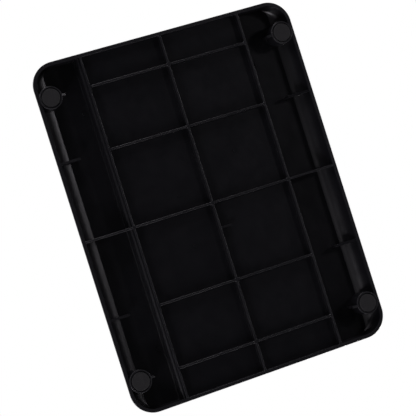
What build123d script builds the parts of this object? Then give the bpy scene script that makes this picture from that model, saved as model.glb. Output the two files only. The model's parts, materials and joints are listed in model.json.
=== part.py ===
"""Low moulded coin display tray with a lift-out velvet insert, in millimetres.

The frame's origin lies on the table under the middle of the tray, +X runs along
its length, +Y across it, and +Z points up.  The tray is one thin moulding: a
ribbed deck between two hollow side rails with quarter-round shoulders.  It stands
on four rubber pads, and carries a board with a velvet pad, die-cut for coins.
"""

import os
from math import cos, radians, sin

from build123d import *

# Outline of the tray at its rim
tray_length = 210.0
tray_width = 162.8
corner_radius = 14.0
wall = 2.0

# Heights
foot_drop = 1.6            # from the tray's rim down to the table
shoulder_radius = 12.4     # of the rails' quarter-round outside, from the rim up
rail_depth = 10.0          # from the rim up to the flat ceiling inside a side rail
bay_depth = 3.2            # from the rim up to the deck's underside
deck_thickness = 1.8

# Shoulders: quarter-round along the sides, nearly square at the ends
shoulder_steps = 6
top_corner_radius = 5.0
end_rounding = 1.0
end_squareness = 6         # power of the curve that rounds the ends' top edge

# Ribs under the tray
rib_thickness = 1.25
long_rib_y = 49.7
cross_rib_x = [0.0, 47.1, 85.2]
bay_draft = 2.0            # degrees
bay_corner_radius = 0.8
well_edge_radius = 1.5     # of the well's lower edge, beside the long ribs
rail_root_radius = 0.5
rim_edge_radius = 0.3

# Gussets that stiffen the rails' outer walls
gusset_reach = 14.7        # from the long edge inwards
gusset_step = 0.8          # from the rim up to the gusset at the wall
gusset_slope = 2.6         # from the rim up to the gusset's inner end
foot_gusset_reach = 17.2
foot_gusset_slope = 0.8

# Feet
foot_x = 85.0
foot_inset = 8.1           # from the long edge to the foot's centre
post_radius = 6.7
post_drop = 1.0            # how far the post's ring stands below the rim
post_recess = 0.8
ring_edge_radius = 0.2
pad_radius = 5.3
recess_clearance = 0.5
pad_edge_radius = 0.3
adhesive_radius = 5.1
adhesive_thickness = 0.2

# Ejector pips on the rail ceilings and under the deck
pip_x = 71.8
pip_y = 55.3
pip_radius = 0.9
pip_height = 0.6
deck_pips = [(-25.8, -23.7), (-10.0, 17.3), (20.8, 17.3)]
deck_pip_height = 0.3

# Sprue spur beside the centre rib
spur_x = 15.5
spur_length = 7.4
spur_step = 0.4            # from the rim up to the spur

# Well in the top of the tray
end_wall = 2.8
well_draft = 1.5           # degrees
well_corner_radius = 3.0
well_root_radius = 0.4
well_mouth_radius = 0.6

# Lift-out insert
insert_gap = 0.6
insert_corner_radius = 2.6
board_thickness = 0.8
velvet_thickness = 2.2
velvet_edge_radius = 0.5
coin_recess = 27.0
recess_corner_radius = 2.0
recess_pitch = 31.0
recess_columns = 6
recess_rows = 3
notch_radius = 8.0

# Worked out from the above
rim_z = foot_drop
ceiling_z = rim_z + rail_depth
top_z = rim_z + shoulder_radius
deck_under_z = rim_z + bay_depth
deck_z = deck_under_z + deck_thickness
half_length = tray_length / 2
half_width = tray_width / 2
rib_outer_y = long_rib_y + rib_thickness / 2
rail_inner_y = rib_outer_y + well_edge_radius
well_length = tray_length - 2 * end_wall
well_width = 2 * (rib_outer_y - wall)
insert_length = well_length - 2 * insert_gap
insert_width = well_width - 2 * insert_gap
board_top_z = deck_z + board_thickness
foot_y = half_width - foot_inset
post_bottom_z = rim_z - post_drop
pad_seat_z = post_bottom_z + post_recess
foot_corners = {
    "front_left": (-1, -1),
    "front_right": (1, -1),
    "rear_left": (-1, 1),
    "rear_right": (1, 1),
}


def shoulder_outlines(inset):
    """Height, length, width and corner radius of outlines up a shoulder."""
    radius = shoulder_radius - inset
    outlines = []
    for step in range(shoulder_steps + 1):
        angle = radians(90 * step / shoulder_steps)
        side_drop = radius * (1 - cos(angle))
        end_drop = end_rounding * (1 - (1 - sin(angle) ** end_squareness) ** (1 / end_squareness))
        corner = corner_radius - (corner_radius - top_corner_radius) * (1 - cos(angle))
        outlines.append(
            (
                rim_z + radius * sin(angle),
                tray_length - 2 * (inset + end_drop),
                tray_width - 2 * (inset + side_drop),
                corner - inset,
            )
        )
    return outlines


def write_node(part, name):
    """Label a finished piece and write its STEP file."""
    part.label = name
    export_step(part, f"parts/{name}.step")


os.makedirs("parts", exist_ok=True)

# Hollow inside the two side rails, open at the bottom
with BuildPart() as rail_space:
    for height, length, width, corner in shoulder_outlines(wall):
        with BuildSketch(Plane.XY.offset(height)):
            RectangleRounded(length, width, corner)
    loft()
    with BuildSketch():
        RectangleRounded(
            tray_length - 2 * wall, tray_width - 2 * wall, corner_radius - wall
        )
    extrude(amount=rim_z)
    # The flat ceiling cuts the quarter-round off just below its top
    with BuildSketch(Plane.XY.offset(ceiling_z)):
        Rectangle(tray_length, tray_width)
    extrude(amount=wall, mode=Mode.SUBTRACT)
    # The long ribs' side: rib, rounded lower edge of the well, wall and root at the ceiling
    with BuildSketch(Plane.YZ):
        with BuildLine():
            Polyline(
                (rail_inner_y + rail_root_radius, ceiling_z),
                (rail_inner_y + rail_root_radius, top_z),
                (0, top_z),
                (0, 0),
                (rib_outer_y, 0),
                (rib_outer_y, deck_under_z),
            )
            CenterArc((rib_outer_y, deck_under_z + well_edge_radius), well_edge_radius, -90, 90)
            Line(
                (rail_inner_y, deck_under_z + well_edge_radius),
                (rail_inner_y, ceiling_z - rail_root_radius),
            )
            CenterArc(
                (rail_inner_y + rail_root_radius, ceiling_z - rail_root_radius),
                rail_root_radius,
                90,
                90,
            )
        make_face()
        mirror(about=Plane.YZ)
    extrude(amount=half_length, both=True, mode=Mode.SUBTRACT)
    # Ribs, gussets and posts that stand in the rails are left solid
    with BuildSketch(Plane.YZ):
        Rectangle(tray_width, 2 * top_z)
    extrude(amount=rib_thickness / 2, both=True, mode=Mode.SUBTRACT)
    for x in (-cross_rib_x[1], cross_rib_x[1]):
        with BuildSketch(Plane.YZ.offset(x)):
            with BuildLine():
                Polyline(
                    (half_width, rim_z + gusset_step),
                    (half_width - wall, rim_z + gusset_step),
                    (half_width - gusset_reach, rim_z + gusset_slope),
                    (half_width - gusset_reach, top_z),
                    (half_width, top_z),
                    close=True,
                )
            make_face()
            mirror(about=Plane.YZ)
        extrude(amount=rib_thickness / 2, both=True, mode=Mode.SUBTRACT)
    for x in (-foot_x, foot_x):
        with BuildSketch(Plane.YZ.offset(x)):
            with BuildLine():
                Polyline(
                    (foot_y, rim_z),
                    (foot_y - post_radius, rim_z),
                    (half_width - foot_gusset_reach, rim_z + foot_gusset_slope),
                    (half_width - foot_gusset_reach, top_z),
                    (foot_y, top_z),
                    close=True,
                )
            make_face()
            mirror(about=Plane.YZ)
        extrude(amount=rib_thickness / 2, both=True, mode=Mode.SUBTRACT)
    with BuildSketch(Plane.XY.offset(rim_z)):
        with GridLocations(2 * foot_x, 2 * foot_y, 2, 2):
            Circle(post_radius)
    extrude(amount=rail_depth, mode=Mode.SUBTRACT)
    # Ejector pips on the rail ceilings
    with BuildSketch(Plane.XY.offset(ceiling_z - pip_height)):
        with GridLocations(2 * pip_x, 2 * pip_y, 2, 2):
            Circle(pip_radius)
    extrude(amount=pip_height, mode=Mode.SUBTRACT)

with BuildPart() as tray_body:
    # Outer shell, rounded over its long sides
    for height, length, width, corner in shoulder_outlines(0):
        with BuildSketch(Plane.XY.offset(height)):
            RectangleRounded(length, width, corner)
    loft()

    # Well for the insert
    with BuildSketch(Plane.XY.offset(deck_z)):
        RectangleRounded(well_length, well_width, well_corner_radius)
    extrude(amount=top_z - deck_z, taper=-well_draft, mode=Mode.SUBTRACT)
    well_root = tray_body.edges().filter_by_position(Axis.Z, deck_z - 0.01, deck_z + 0.01)
    fillet(well_root, well_root_radius)
    mouth = tray_body.faces().sort_by(Axis.Z)[-1].inner_wires()[0].edges()
    fillet(mouth, well_mouth_radius)

    # Hollow rails
    add(rail_space.part, mode=Mode.SUBTRACT)

    # Bays between the ribs under the deck
    rib_positions = sorted({side * x for x in cross_rib_x for side in (-1, 1)})
    bay_walls = [-half_length + wall - rib_thickness / 2, *rib_positions]
    bay_walls.append(half_length - wall + rib_thickness / 2)
    with BuildSketch(Plane.XY.offset(rim_z)):
        for start, end in zip(bay_walls, bay_walls[1:]):
            middle = (start + end) / 2
            with Locations((middle, -long_rib_y / 2), (middle, long_rib_y / 2)):
                RectangleRounded(
                    end - start - rib_thickness, long_rib_y - rib_thickness, bay_corner_radius
                )
    extrude(amount=bay_depth, taper=bay_draft, mode=Mode.SUBTRACT)
    # Ease the free edges of the rim and the ribs
    rim_edges = tray_body.edges().filter_by_position(Axis.Z, rim_z - 0.01, rim_z + 0.01)
    bay_edges = rim_edges.filter_by(lambda edge: abs(edge.center().Y) < long_rib_y)
    rail_edges = rim_edges.filter_by(GeomType.LINE).filter_by(
        lambda edge: edge.length > gusset_reach and abs(edge.center().Y) > long_rib_y
    )
    outer_edges = tray_body.faces().filter_by(Axis.Z).sort_by(Axis.Z)[0].outer_wire().edges()
    fillet(bay_edges + rail_edges + outer_edges, rim_edge_radius)
    # Sprue spur and ejector pips under the deck
    with BuildSketch(Plane.XY.offset(rim_z + spur_step)):
        with Locations((spur_x, -spur_length / 2)):
            Rectangle(rib_thickness, spur_length)
    extrude(amount=bay_depth)
    with BuildSketch(Plane.XY.offset(deck_under_z - deck_pip_height)):
        with Locations(*deck_pips):
            Circle(pip_radius)
    extrude(amount=deck_thickness)

    # Rings of the foot posts, each with a shallow seat for its pad
    with BuildSketch(Plane.XY.offset(post_bottom_z)):
        with GridLocations(2 * foot_x, 2 * foot_y, 2, 2):
            Circle(post_radius)
    extrude(amount=post_drop + rim_edge_radius)
    with BuildSketch(Plane.XY.offset(post_bottom_z)):
        with GridLocations(2 * foot_x, 2 * foot_y, 2, 2):
            Circle(pad_radius + recess_clearance)
    extrude(amount=post_recess, mode=Mode.SUBTRACT)
    ring_edges = tray_body.edges().filter_by_position(
        Axis.Z, post_bottom_z - 0.01, post_bottom_z + 0.01
    )
    fillet(ring_edges, ring_edge_radius)
write_node(tray_body.part, "tray_body")

# Stiff board under the velvet, with a thumb notch in each end
with BuildPart() as insert_board:
    with BuildSketch(Plane.XY.offset(deck_z)):
        RectangleRounded(insert_length, insert_width, insert_corner_radius)
        with Locations((-insert_length / 2, 0), (insert_length / 2, 0)):
            Circle(notch_radius, mode=Mode.SUBTRACT)
    extrude(amount=board_thickness)
write_node(insert_board.part, "insert_board")

# Velvet-covered foam pad of the same outline, die-cut with the coin recesses
with BuildPart() as insert_pad:
    with BuildSketch(Plane.XY.offset(board_top_z)):
        RectangleRounded(insert_length, insert_width, insert_corner_radius)
        with Locations((-insert_length / 2, 0), (insert_length / 2, 0)):
            Circle(notch_radius, mode=Mode.SUBTRACT)
        with GridLocations(recess_pitch, recess_pitch, recess_columns, recess_rows):
            RectangleRounded(coin_recess, coin_recess, recess_corner_radius, mode=Mode.SUBTRACT)
    extrude(amount=velvet_thickness)
    fillet(insert_pad.faces().sort_by(Axis.Z)[-1].edges(), velvet_edge_radius)
write_node(insert_pad.part, "insert_pad")

# Stick-on rubber pads with their adhesive discs, one under each post
for corner_name, (side_x, side_y) in foot_corners.items():
    foot_plane = Plane((side_x * foot_x, side_y * foot_y, 0))
    with BuildPart() as foot_pad:
        with BuildSketch(foot_plane):
            Circle(pad_radius)
        extrude(amount=pad_seat_z - adhesive_thickness)
        fillet(foot_pad.edges().sort_by(Axis.Z)[0], pad_edge_radius)
    write_node(foot_pad.part, f"foot_pad_{corner_name}")

    with BuildPart() as foot_adhesive:
        with BuildSketch(foot_plane.offset(pad_seat_z - adhesive_thickness)):
            Circle(adhesive_radius)
        extrude(amount=adhesive_thickness)
    write_node(foot_adhesive.part, f"foot_adhesive_{corner_name}")
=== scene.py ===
"""Looks of the coin display tray: camera, lights, floor, materials and the soft insert.

Everything is in metres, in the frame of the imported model.  The camera looks up at
the ribbed underside.  The velvet pad and the flocked board are built here, in the
space of their solids; the moulding and its feet keep their shape and get materials.
"""

import json
from math import cos, exp, hypot, pi, radians, sin, sqrt

import bmesh
import bpy
from mathutils import Matrix, Vector, noise


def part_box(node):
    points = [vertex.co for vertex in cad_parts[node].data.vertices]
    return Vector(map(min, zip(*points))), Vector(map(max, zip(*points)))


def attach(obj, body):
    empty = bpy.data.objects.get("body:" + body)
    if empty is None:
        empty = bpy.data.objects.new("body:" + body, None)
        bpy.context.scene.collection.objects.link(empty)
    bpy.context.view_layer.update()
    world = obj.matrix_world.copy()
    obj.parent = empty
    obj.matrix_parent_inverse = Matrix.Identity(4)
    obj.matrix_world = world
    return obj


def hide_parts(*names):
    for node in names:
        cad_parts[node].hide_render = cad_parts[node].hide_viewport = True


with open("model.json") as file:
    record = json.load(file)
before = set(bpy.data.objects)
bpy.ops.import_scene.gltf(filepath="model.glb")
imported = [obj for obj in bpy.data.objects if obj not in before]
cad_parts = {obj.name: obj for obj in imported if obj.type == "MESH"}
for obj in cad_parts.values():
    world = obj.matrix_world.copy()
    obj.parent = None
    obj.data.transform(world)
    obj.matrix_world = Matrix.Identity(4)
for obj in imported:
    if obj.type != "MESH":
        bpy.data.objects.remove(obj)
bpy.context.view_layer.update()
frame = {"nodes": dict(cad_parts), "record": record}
nodes = frame["nodes"]

mm = 0.001

# Camera: under the tray, with its upward direction rolled from the tray's -X
camera_place = Vector((0.00484, 0.2545, -0.8394))
camera_target = Vector((0.0021, 0.00366, 0.0016))
camera_roll = radians(17.576)
camera_lens = 129.8
camera_sensor = 36.0
camera_clip_start = 0.01

# Soft boxes under the tray, which look up at its underside
low_color = (0.97, 0.93, 1.0)  # slightly violet
low_distance = 0.95
low_size = 0.42
glint_distance = 1.0           # of the small boxes that draw the streaks and rib lines

# Lights over the tray
sky_strength = 2.5
sky_angle = radians(20)
overhead_distance = 1.2
overhead_size = 0.9
strip_distance = 1.9
strip_length = 1.5
strip_width = 0.5

# Even light from all round
fill_color = (0.90, 0.93, 1.0)
fill_strength = 0.01

# Floor
floor_radius = 6.0
floor_segments = 96
floor_gap = 0.1 * mm           # below the feet
fade_near = 0.4                # from here out, the paper goes over into white
fade_far = 1.6

# Velvet pad, die-cut with square recesses
recess = 27.0 * mm
recess_corner_radius = 2.0 * mm
insert_corner_radius = 2.6 * mm
notch_radius = 8.0 * mm
edge_roll = 0.9 * mm           # radius that the velvet turns over at a cut edge
edge_sink = 0.22 * mm          # how far the foam is pressed down beside an edge
sink_width = 0.9 * mm
ripple = 0.07 * mm             # unevenness of the hand-laid velvet
ripple_size = 11.0 * mm

# Steps along one side of a recess and its cell, and across the velvet between them
corner_segments = 4
side_segments = 16
roll_segments = 4
middle_segments = 2
notch_margin_segments = 2

# Board
board_bevel = 0.15 * mm
bevel_segments = 2

# Tolerances in meshes
merge_distance = 0.001 * mm
level_tolerance = 0.0001 * mm

# Heights of the moulding's lowest faces, on the foot rings, and of the crests of rim and ribs
ring_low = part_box("tray_body")[0].z
crest_low = ring_low + 1.0 * mm


# ---------------------------------------------------------------- camera and light


def make_camera():
    """A camera whose upward direction is the tray's -X, rolled about its line of sight."""
    data = bpy.data.cameras.new("camera")
    data.lens = camera_lens
    data.sensor_width = camera_sensor
    data.clip_start = camera_clip_start
    camera = bpy.data.objects.new("camera", data)
    bpy.context.scene.collection.objects.link(camera)
    forward = (camera_target - camera_place).normalized()
    level_up = Vector((-1, 0, 0))
    level_up = (level_up - forward * level_up.dot(forward)).normalized()
    level_right = forward.cross(level_up)
    up = level_up * cos(camera_roll) + level_right * sin(camera_roll)
    right = forward.cross(up)
    rotation = Matrix((right, up, -forward)).transposed()
    camera.matrix_world = Matrix.Translation(camera_place) @ rotation.to_4x4()
    bpy.context.scene.camera = camera


def make_softbox(name, direction, distance, width, height, watts, color=(1, 1, 1)):
    """A soft box that looks at the tray from the given direction and isn't seen itself."""
    data = bpy.data.lights.new(name, "AREA")
    data.shape = "RECTANGLE"
    data.size = width
    data.size_y = height
    data.energy = watts
    data.color = color
    light = bpy.data.objects.new(name, data)
    bpy.context.scene.collection.objects.link(light)
    towards = Vector(direction).normalized()
    facing = towards.to_track_quat("Z", "Y").to_matrix().to_4x4()
    light.matrix_world = Matrix.Translation(towards * distance) @ facing
    light.visible_camera = False


def make_sky(direction):
    """A soft sun from the given direction, which lights the floor evenly."""
    data = bpy.data.lights.new("sky", "SUN")
    data.energy = sky_strength
    data.angle = sky_angle
    light = bpy.data.objects.new("sky", data)
    bpy.context.scene.collection.objects.link(light)
    light.matrix_world = Vector(direction).to_track_quat("Z", "Y").to_matrix().to_4x4()


def make_low_lights():
    """The soft boxes under the tray, each with its direction and watts.

    The large ones give the even grey of the bays and the rails' walls.  The small ones
    draw the line beside the ribs and the streaks along the rails' round shoulders.  The
    large front one is all but off, because the photograph has little light from there.
    """
    for name, direction, watts in (
        ("low_minus_x", (-0.95, 0.0, -0.27), 3.6),
        ("low_minus_y", (0.0, -0.95, -0.27), 1.2),
        ("low_plus_x", (0.95, 0.0, -0.27), 2.4),
        ("low_rear_left", (-0.67, 0.67, -0.27), 1.7),
        ("low_rear_right", (0.67, 0.67, -0.27), 1.3),
    ):
        make_softbox(name, direction, low_distance, low_size, low_size, watts, low_color)
    for name, direction, size, watts in (
        ("rib_line", (0.50, 0.72, -0.40), 0.25, 2.6),
        ("streak", (-0.17, -0.75, -0.64), 0.10, 0.52),
        ("streak_middle", (0.02, -0.75, -0.64), 0.10, 0.12),
        ("streak_right", (0.10, 0.42, -0.90), 0.20, 0.20),
    ):
        make_softbox(name, direction, glint_distance, size, size, watts, low_color)
    make_softbox(
        "front", (0.0, 0.21, -0.98), low_distance, low_size, low_size, 0.01, low_color
    )


def make_high_lights():
    """The lights over the tray: an even sky, a box overhead and two strips for the edges."""
    make_sky((0.5, -0.6, 1.0))
    make_softbox(
        "overhead", (0.0, 0.0, 1.0), overhead_distance, overhead_size, overhead_size, 2.0
    )
    for name, direction in (
        ("strip_rear_left", (-0.65, 0.65, 0.42)),
        ("strip_front_right", (0.65, -0.65, 0.30)),
    ):
        make_softbox(name, direction, strip_distance, strip_length, strip_width, 6.0)


def make_world():
    """White to the camera, and a dim even light on the tray."""
    world = bpy.data.worlds.new("studio")
    bpy.context.scene.world = world
    world.use_nodes = True
    tree = world.node_tree
    tree.nodes.clear()
    seen = tree.nodes.new("ShaderNodeBackground")
    seen.inputs["Color"].default_value = (1, 1, 1, 1)
    lighting = tree.nodes.new("ShaderNodeBackground")
    lighting.inputs["Color"].default_value = (*fill_color, 1)
    lighting.inputs["Strength"].default_value = fill_strength
    path = tree.nodes.new("ShaderNodeLightPath")
    mix = tree.nodes.new("ShaderNodeMixShader")
    out = tree.nodes.new("ShaderNodeOutputWorld")
    tree.links.new(path.outputs["Is Camera Ray"], mix.inputs["Fac"])
    tree.links.new(lighting.outputs[0], mix.inputs[1])
    tree.links.new(seen.outputs[0], mix.inputs[2])
    tree.links.new(mix.outputs[0], out.inputs["Surface"])


# ---------------------------------------------------------------- material helpers


def new_material(name):
    """A material with a Principled shader, and its node tree."""
    material = bpy.data.materials.new(name)
    material.use_nodes = True
    tree = material.node_tree
    return material, tree, tree.nodes["Principled BSDF"]


def object_place(tree, stretch=(1, 1, 1)):
    """The place on the object, in metres, as a texture coordinate."""
    place = tree.nodes.new("ShaderNodeTexCoord")
    mapping = tree.nodes.new("ShaderNodeMapping")
    mapping.inputs["Scale"].default_value = stretch
    tree.links.new(place.outputs["Object"], mapping.inputs["Vector"])
    return mapping.outputs["Vector"]


def add_noise(tree, place, scale, detail=2.0, roughness=0.5, distortion=0.0):
    """A noise texture's grey value."""
    node = tree.nodes.new("ShaderNodeTexNoise")
    node.inputs["Scale"].default_value = scale
    node.inputs["Detail"].default_value = detail
    node.inputs["Roughness"].default_value = roughness
    node.inputs["Distortion"].default_value = distortion
    tree.links.new(place, node.inputs["Vector"])
    return node.outputs["Fac"]


def add_ramp(tree, value, low, high, low_color, high_color):
    """A colour that goes from low_color to high_color as the value goes from low to high."""
    node = tree.nodes.new("ShaderNodeValToRGB")
    node.color_ramp.elements[0].position = low
    node.color_ramp.elements[0].color = (*low_color, 1)
    node.color_ramp.elements[1].position = high
    node.color_ramp.elements[1].color = (*high_color, 1)
    tree.links.new(value, node.inputs["Fac"])
    return node.outputs["Color"]


def add_range(tree, value, low, high, low_result, high_result):
    """A number that goes from low_result to high_result as the value goes from low to high."""
    node = tree.nodes.new("ShaderNodeMapRange")
    node.inputs["From Min"].default_value = low
    node.inputs["From Max"].default_value = high
    node.inputs["To Min"].default_value = low_result
    node.inputs["To Max"].default_value = high_result
    tree.links.new(value, node.inputs["Value"])
    return node.outputs["Result"]


def add_math(tree, operation, first, second):
    """Two sockets, or a socket and a number, put together by a Math node."""
    node = tree.nodes.new("ShaderNodeMath")
    node.operation = operation
    for socket, value in zip(node.inputs, (first, second)):
        if isinstance(value, (int, float)):
            socket.default_value = value
        else:
            tree.links.new(value, socket)
    return node.outputs["Value"]


def add_mix(tree, share, first, second):
    """A colour mixed from two by a share from 0 to 1."""
    node = tree.nodes.new("ShaderNodeMix")
    node.data_type = "RGBA"
    tree.links.new(share, node.inputs["Factor"])
    for socket, value in ((node.inputs["A"], first), (node.inputs["B"], second)):
        if isinstance(value, tuple):
            socket.default_value = (*value, 1)
        else:
            tree.links.new(value, socket)
    return node.outputs["Result"]


def add_bump(tree, value, depth, under=None):
    """A normal bumped by the value, in metres of depth, over another bump if there is one."""
    node = tree.nodes.new("ShaderNodeBump")
    node.inputs["Strength"].default_value = 1.0
    node.inputs["Distance"].default_value = depth
    tree.links.new(value, node.inputs["Height"])
    if under is not None:
        tree.links.new(under, node.inputs["Normal"])
    return node.outputs["Normal"]


def edge_mask(tree, width):
    """1 on sharp outer edges and 0 on flat ground, from how far a bevel turns the normal."""
    bevel = tree.nodes.new("ShaderNodeBevel")
    bevel.samples = 6
    bevel.inputs["Radius"].default_value = width
    geometry = tree.nodes.new("ShaderNodeNewGeometry")
    dot = tree.nodes.new("ShaderNodeVectorMath")
    dot.operation = "DOT_PRODUCT"
    tree.links.new(bevel.outputs["Normal"], dot.inputs[0])
    tree.links.new(geometry.outputs["Normal"], dot.inputs[1])
    flat, sharp = 0.99, 0.80       # cosines of how far the bevel turns the normal
    return add_range(tree, dot.outputs["Value"], flat, sharp, 0.0, 1.0)


# ---------------------------------------------------------------- materials


def tray_plastic():
    """Black satin polystyrene: fine eroded grain, uneven gloss, lighter edges and a few scuffs.

    The edges are lighter partly as wear and partly as a painted highlight.  The foot rings,
    which come nearest the table, are lighter all over, and the crests of the rim and the
    ribs are painted a little lighter as a highlight.
    """
    material, tree, shader = new_material("tray_plastic")
    place = object_place(tree)
    grain = add_noise(tree, place, 2600, detail=3, roughness=0.6)
    flow = add_noise(tree, place, 38, detail=3, distortion=0.6)
    smudge = add_noise(tree, place, 130, detail=4, roughness=0.65)
    scuff_place = object_place(tree, stretch=(60, 900, 900))
    scuff = add_noise(tree, scuff_place, 1.0, detail=2, distortion=1.5)
    scuffed = add_range(tree, scuff, 0.70, 0.80, 0.0, 1.0)
    axes = tree.nodes.new("ShaderNodeSeparateXYZ")
    tree.links.new(place, axes.inputs[0])
    height = axes.outputs["Z"]
    # the foot rings, the lowest faces, are lighter all over
    ring = add_range(tree, height, ring_low + 0.6 * mm, ring_low + 0.1 * mm, 0.0, 1.0)
    # painted highlight: the crests of the rim and the ribs are made lighter
    painted_crest_highlight = add_range(tree, height, crest_low + 0.6 * mm, crest_low + 0.2 * mm, 0.0, 0.4)
    # sharp edges are lighter, partly as wear and partly as a painted highlight
    wear_and_painted_highlight = add_math(tree, "MAXIMUM", edge_mask(tree, 0.25 * mm), ring)
    wear_and_painted_highlight = add_math(tree, "MAXIMUM", wear_and_painted_highlight, painted_crest_highlight)
    wear_and_painted_highlight = add_math(tree, "MULTIPLY", wear_and_painted_highlight, add_range(tree, smudge, 0.2, 0.6, 0.5, 1.0))

    black = add_ramp(tree, flow, 0.35, 0.65, (0.0046, 0.0046, 0.0058), (0.0054, 0.0054, 0.0068))
    # the lighter colour on worn edges and on the rings, and as painted highlight on edges and
    # crests
    black_with_wear_and_highlight = add_mix(tree, wear_and_painted_highlight, black, (0.020, 0.020, 0.022))
    tree.links.new(black_with_wear_and_highlight, shader.inputs["Base Color"])

    gloss = add_range(tree, smudge, 0.30, 0.70, 0.31, 0.37)
    gloss = add_math(tree, "ADD", gloss, add_math(tree, "MULTIPLY", scuffed, 0.06))
    tree.links.new(gloss, shader.inputs["Roughness"])
    normal = add_bump(tree, grain, 0.012 * mm)
    normal = add_bump(tree, flow, 0.01 * mm, under=normal)
    tree.links.new(normal, shader.inputs["Normal"])
    shader.inputs["IOR"].default_value = 1.5
    return material


def velvet():
    """Black short-pile velvet: brushed patches, fine pile and a soft sheen."""
    material, tree, shader = new_material("velvet")
    place = object_place(tree)
    pile = add_noise(tree, place, 3400, detail=3, roughness=0.7)
    tufts = add_noise(tree, object_place(tree, stretch=(700, 1500, 1000)), 1.0, detail=3)
    brushed = add_noise(tree, place, 26, detail=3, distortion=1.8)
    lint = add_noise(tree, place, 950, detail=1)

    black = add_ramp(tree, brushed, 0.38, 0.62, (0.0060, 0.0060, 0.0085), (0.014, 0.014, 0.020))
    flecks = add_range(tree, lint, 0.80, 0.86, 0.0, 0.35)
    tree.links.new(add_mix(tree, flecks, black, (0.10, 0.10, 0.11)), shader.inputs["Base Color"])
    tree.links.new(add_range(tree, tufts, 0.3, 0.7, 0.80, 1.0), shader.inputs["Roughness"])
    normal = add_bump(tree, pile, 0.10 * mm)
    normal = add_bump(tree, tufts, 0.12 * mm, under=normal)
    tree.links.new(normal, shader.inputs["Normal"])
    shader.inputs["Specular IOR Level"].default_value = 0.15
    shader.inputs["Sheen Weight"].default_value = 0.50
    shader.inputs["Sheen Roughness"].default_value = 0.35
    shader.inputs["Sheen Tint"].default_value = (0.80, 0.82, 1.0, 1)
    return material


def flocked_board():
    """Stiff board under a thin black flock."""
    material, tree, shader = new_material("flocked_board")
    place = object_place(tree)
    fibres = add_noise(tree, place, 4200, detail=2, roughness=0.8)
    mottle = add_noise(tree, place, 150, detail=4, roughness=0.6)
    black = add_ramp(tree, mottle, 0.35, 0.70, (0.005, 0.005, 0.007), (0.009, 0.009, 0.012))
    tree.links.new(black, shader.inputs["Base Color"])
    tree.links.new(add_range(tree, fibres, 0.3, 0.7, 0.85, 1.0), shader.inputs["Roughness"])
    normal = add_bump(tree, fibres, 0.08 * mm)
    normal = add_bump(tree, mottle, 0.06 * mm, under=normal)
    tree.links.new(normal, shader.inputs["Normal"])
    shader.inputs["Specular IOR Level"].default_value = 0.12
    shader.inputs["Sheen Weight"].default_value = 0.05
    shader.inputs["Sheen Roughness"].default_value = 0.5
    return material


def foot_rubber():
    """Matt grey-black rubber with a fine cloth-like press mark and some dust."""
    material, tree, shader = new_material("foot_rubber")
    place = object_place(tree)
    press = tree.nodes.new("ShaderNodeTexVoronoi")
    press.inputs["Scale"].default_value = 1900
    tree.links.new(place, press.inputs["Vector"])
    dust = add_noise(tree, place, 420, detail=5, roughness=0.7)
    grey = add_ramp(tree, dust, 0.42, 0.74, (0.010, 0.010, 0.0105), (0.020, 0.0195, 0.020))
    tree.links.new(grey, shader.inputs["Base Color"])
    tree.links.new(add_range(tree, dust, 0.3, 0.7, 0.62, 0.85), shader.inputs["Roughness"])
    normal = add_bump(tree, press.outputs["Distance"], 0.03 * mm)
    normal = add_bump(tree, dust, 0.03 * mm, under=normal)
    tree.links.new(normal, shader.inputs["Normal"])
    shader.inputs["Specular IOR Level"].default_value = 0.4
    return material


def adhesive():
    """Thin double-sided tape: pale, slightly translucent glue on a paper carrier."""
    material, tree, shader = new_material("adhesive")
    place = object_place(tree)
    paper = add_noise(tree, place, 900, detail=4, roughness=0.7)
    pale = add_ramp(tree, paper, 0.35, 0.65, (0.50, 0.47, 0.40), (0.62, 0.60, 0.54))
    tree.links.new(pale, shader.inputs["Base Color"])
    tree.links.new(add_range(tree, paper, 0.3, 0.7, 0.35, 0.55), shader.inputs["Roughness"])
    tree.links.new(add_bump(tree, paper, 0.02 * mm), shader.inputs["Normal"])
    return material


def floor_paper():
    """Pale studio paper, seen only from above, that fades out far from the tray."""
    material, tree, shader = new_material("floor_paper")
    place = object_place(tree)
    fibres = add_noise(tree, place, 90, detail=4)
    pale = add_ramp(tree, fibres, 0.3, 0.7, (0.80, 0.80, 0.80), (0.83, 0.83, 0.83))
    tree.links.new(pale, shader.inputs["Base Color"])
    shader.inputs["Roughness"].default_value = 0.9
    shader.inputs["Specular IOR Level"].default_value = 0.1

    distance = tree.nodes.new("ShaderNodeVectorMath")
    distance.operation = "LENGTH"
    tree.links.new(place, distance.inputs[0])
    fade = add_range(tree, distance.outputs["Value"], fade_near, fade_far, 1.0, 0.0)
    path = tree.nodes.new("ShaderNodeLightPath")
    geometry = tree.nodes.new("ShaderNodeNewGeometry")
    from_above = add_math(tree, "SUBTRACT", 1.0, geometry.outputs["Backfacing"])
    seen = add_math(tree, "MULTIPLY", path.outputs["Is Camera Ray"], from_above)
    seen = add_math(tree, "MULTIPLY", seen, fade)
    clear = tree.nodes.new("ShaderNodeBsdfTransparent")
    mix = tree.nodes.new("ShaderNodeMixShader")
    tree.links.new(seen, mix.inputs["Fac"])
    tree.links.new(clear.outputs[0], mix.inputs[1])
    tree.links.new(shader.outputs[0], mix.inputs[2])
    out = tree.nodes["Material Output"]
    tree.links.new(mix.outputs[0], out.inputs["Surface"])
    return material


# ---------------------------------------------------------------- mesh helpers


def make_object(name, build, material):
    """A smooth-shaded object from a bmesh."""
    mesh = bpy.data.meshes.new(name)
    build.to_mesh(mesh)
    build.free()
    mesh.shade_smooth()
    mesh.materials.append(material)
    piece = bpy.data.objects.new(name, mesh)
    bpy.context.scene.collection.objects.link(piece)
    return piece


def spaced(start, end, count):
    """count evenly spaced numbers from start up to, but not including, end."""
    return [start + (end - start) * i / count for i in range(count)]


# ---------------------------------------------------------------- the insert's outline


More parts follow.
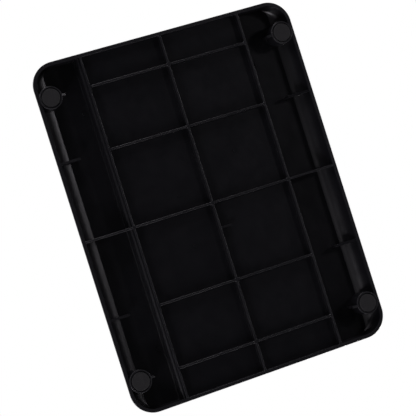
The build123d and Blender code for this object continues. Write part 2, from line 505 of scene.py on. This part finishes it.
pad_low, pad_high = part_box("insert_pad")
board_low, board_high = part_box("insert_board")
openings = frame["record"]["physics"]["openings"]


def opening_middles(axis):
    """The middles of the coin recesses along one axis, in order."""
    boxes = [o["box_m"] for o in openings if o["name"].startswith("coin_recess")]
    return sorted({round((low[axis] + high[axis]) / 2, 6) for low, high in boxes})


def cell_limits(middles, low, high):
    """Where each cell starts and ends: halfway between recesses, and at the insert's edges."""
    between = [(a + b) / 2 for a, b in zip(middles, middles[1:])]
    return list(zip([low, *between], [*between, high]))


def recess_outline():
    """One recess about its own middle, anticlockwise from the middle of its first corner."""
    radius = recess_corner_radius
    straight = recess / 2 - radius
    half_corner = [
        Vector((radius * cos(angle) - straight, radius * sin(angle) - straight))
        for angle in spaced(1.25 * pi, 1.5 * pi, corner_segments)
    ]
    side = [*half_corner]
    side += [Vector((x, -recess / 2)) for x in spaced(-straight, straight, side_segments)]
    side.append(Vector((straight, -recess / 2)))
    side += [Vector((-point.x, point.y)) for point in reversed(half_corner[1:])]
    return [Matrix.Rotation(turn * pi / 2, 2) @ point for turn in range(4) for point in side]


def side_places(start, end, middle):
    """Places along one side of a cell, each facing a point of its recess's outline."""
    straight = (recess / 2 - recess_corner_radius) * (1 if end > start else -1)
    return [
        *spaced(start, middle - straight, corner_segments),
        *spaced(middle - straight, middle + straight, side_segments),
        *spaced(middle + straight, end, corner_segments),
    ]


def notched_side(edge, start, end):
    """The outer side of an end cell in the middle row, with the thumb notch cut into it."""
    sense = 1 if end > start else -1
    inwards = -1 if edge > 0 else 1
    straight = recess / 2 - recess_corner_radius
    arc_segments = side_segments - 2 * notch_margin_segments
    before = [
        *spaced(start, -sense * straight, corner_segments),
        *spaced(-sense * straight, -sense * notch_radius, notch_margin_segments),
    ]
    after = [
        *spaced(sense * notch_radius, sense * straight, notch_margin_segments),
        *spaced(sense * straight, end, corner_segments),
    ]
    arc = [
        (edge + inwards * notch_radius * cos(angle), sense * notch_radius * sin(angle))
        for angle in spaced(-pi / 2, pi / 2, arc_segments)
    ]
    return [*((edge, y) for y in before), *arc, *((edge, y) for y in after)]


def rounded(point):
    """A point of the insert, with the square corners of its outline drawn in to round ones."""
    along = abs(point[0]) - (pad_high.x - insert_corner_radius)
    across = abs(point[1]) - (pad_high.y - insert_corner_radius)
    if along <= 0 or across <= 0:
        return Vector(point)
    scale = max(along, across) / hypot(along, across)
    x = pad_high.x - insert_corner_radius + along * scale
    y = pad_high.y - insert_corner_radius + across * scale
    return Vector((x if point[0] > 0 else -x, y if point[1] > 0 else -y))


def cell_sides(column, row):
    """The four sides of one cell, anticlockwise from its low corner, each a list of points."""
    (left, right), (near, far) = columns[column], rows[row]
    middle_x, middle_y = column_middles[column], row_middles[row]
    sides = [
        [(x, near) for x in side_places(left, right, middle_x)],
        [(right, y) for y in side_places(near, far, middle_y)],
        [(x, far) for x in side_places(right, left, middle_x)],
        [(left, y) for y in side_places(far, near, middle_y)],
    ]
    if row == len(rows) // 2:
        if column == len(columns) - 1:
            sides[1] = notched_side(right, near, far)
        if column == 0:
            sides[3] = notched_side(left, far, near)
    return [[rounded(point) for point in side] for side in sides]


def free_sides(column, row):
    """Which of a cell's four sides lie on the insert's edge."""
    return [row == 0, column == len(columns) - 1, row == len(rows) - 1, column == 0]


column_middles = opening_middles(0)
row_middles = opening_middles(1)
columns = cell_limits(column_middles, pad_low.x, pad_high.x)
rows = cell_limits(row_middles, pad_low.y, pad_high.y)


def insert_outline():
    """The insert's whole edge, anticlockwise."""
    last_column, last_row = len(columns) - 1, len(rows) - 1
    outline = []
    for column in range(len(columns)):
        outline += cell_sides(column, 0)[0]
    for row in range(len(rows)):
        outline += cell_sides(last_column, row)[1]
    for column in reversed(range(len(columns))):
        outline += cell_sides(column, last_row)[2]
    for row in reversed(range(len(rows))):
        outline += cell_sides(0, row)[3]
    return outline


# ---------------------------------------------------------------- the insert's pieces


def unevenness(point):
    """A small smooth lift and fall of the velvet, from -1 to 1."""
    return noise.noise(Vector((point.x, point.y, 0)) / ripple_size)


def velvet_drop(distance):
    """How far below its crown the velvet lies at a distance from a cut edge."""
    turned = max(edge_roll - distance, 0.0)
    roll = edge_roll - sqrt(max(edge_roll**2 - turned**2, 0.0))
    return roll + edge_sink * exp(-max(distance - edge_roll, 0.0) / sink_width)


def crown_line(inner, outer, is_free):
    """Points over the velvet from a recess's edge to the cell's side, as (place, height)."""
    span = (outer - inner).length
    towards = (outer - inner) / span
    turns = [edge_roll * (1 - cos(0.5 * pi * i / roll_segments)) for i in range(roll_segments)]
    middle = [*spaced(edge_roll, span - edge_roll, middle_segments), span - edge_roll]
    reaches = [*turns, *middle, *[span - turn for turn in reversed(turns)]]
    line = []
    for reach in reaches:
        from_edge = min(reach, span - reach) if is_free else reach
        place = inner + towards * reach
        lift = ripple * (unevenness(place) - 1) * min(from_edge / edge_roll, 1.0)
        line.append((place, pad_high.z - velvet_drop(from_edge) + lift))
    return line


def make_velvet_pad():
    """The pad: padded bars between the recesses, its velvet turned over every cut edge."""
    build = bmesh.new()
    hole = recess_outline()
    for column in range(len(columns)):
        for row in range(len(rows)):
            middle = Vector((column_middles[column], row_middles[row]))
            sides = cell_sides(column, row)
            free = [is_free for side, is_free in zip(sides, free_sides(column, row)) for _ in side]
            outer = [point for side in sides for point in side]
            inner = [middle + point for point in hole]
            strips = []
            for start, end, is_free in zip(inner, outer, free):
                line = [(end, pad_low.z), (start, pad_low.z), *crown_line(start, end, is_free)]
                strips.append([build.verts.new((place.x, place.y, z)) for place, z in line])
            for i, strip in enumerate(strips):
                following = strips[(i + 1) % len(strips)]
                for a, b, c, d in zip(strip, strip[1:], following[1:], following):
                    build.faces.new((a, b, c, d))
                if free[i]:
                    build.faces.new((strip[-1], strip[0], following[0], following[-1]))
    bmesh.ops.remove_doubles(build, verts=build.verts, dist=merge_distance)
    bmesh.ops.recalc_face_normals(build, faces=build.faces)
    pad = make_object("velvet_pad", build, velvet())
    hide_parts("insert_pad")
    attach(pad, "insert")


def make_flocked_board():
    """The board: the pad's outline, with eased edges."""
    build = bmesh.new()
    outline = insert_outline()
    underside = build.faces.new(
        [build.verts.new((point.x, point.y, board_low.z)) for point in reversed(outline)]
    )
    raised = bmesh.ops.extrude_face_region(build, geom=[underside])
    risen = [v for v in raised["geom"] if isinstance(v, bmesh.types.BMVert)]
    bmesh.ops.translate(build, verts=risen, vec=(0, 0, board_high.z - board_low.z))
    bmesh.ops.recalc_face_normals(build, faces=build.faces)
    rims = [
        edge
        for edge in build.edges
        if abs(edge.verts[0].co.z - edge.verts[1].co.z) < level_tolerance
    ]
    bmesh.ops.bevel(
        build, geom=rims, offset=board_bevel, segments=bevel_segments, affect="EDGES"
    )
    board = make_object("flocked_board", build, flocked_board())
    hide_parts("insert_board")
    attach(board, "insert")


def make_floor():
    """A wide pale floor just under the feet."""
    build = bmesh.new()
    bmesh.ops.create_circle(
        build, cap_ends=True, segments=floor_segments, radius=floor_radius
    )
    bmesh.ops.translate(build, verts=build.verts, vec=(0, 0, -floor_gap))
    floor = make_object("floor", build, floor_paper())


def give_materials():
    """Materials for the CAD nodes that keep their shape."""
    by_slot = {
        "tray_plastic": tray_plastic(),
        "foot_rubber": foot_rubber(),
        "adhesive": adhesive(),
    }
    for subpart in frame["record"]["subparts"]:
        if subpart["material_slot"] in by_slot:
            slots = nodes[subpart["node"]].data.materials
            slots.clear()
            slots.append(by_slot[subpart["material_slot"]])


make_camera()
make_world()
make_low_lights()
make_high_lights()
make_floor()
give_materials()
make_flocked_board()
make_velvet_pad()

bpy.context.scene.view_settings.view_transform = "Standard"
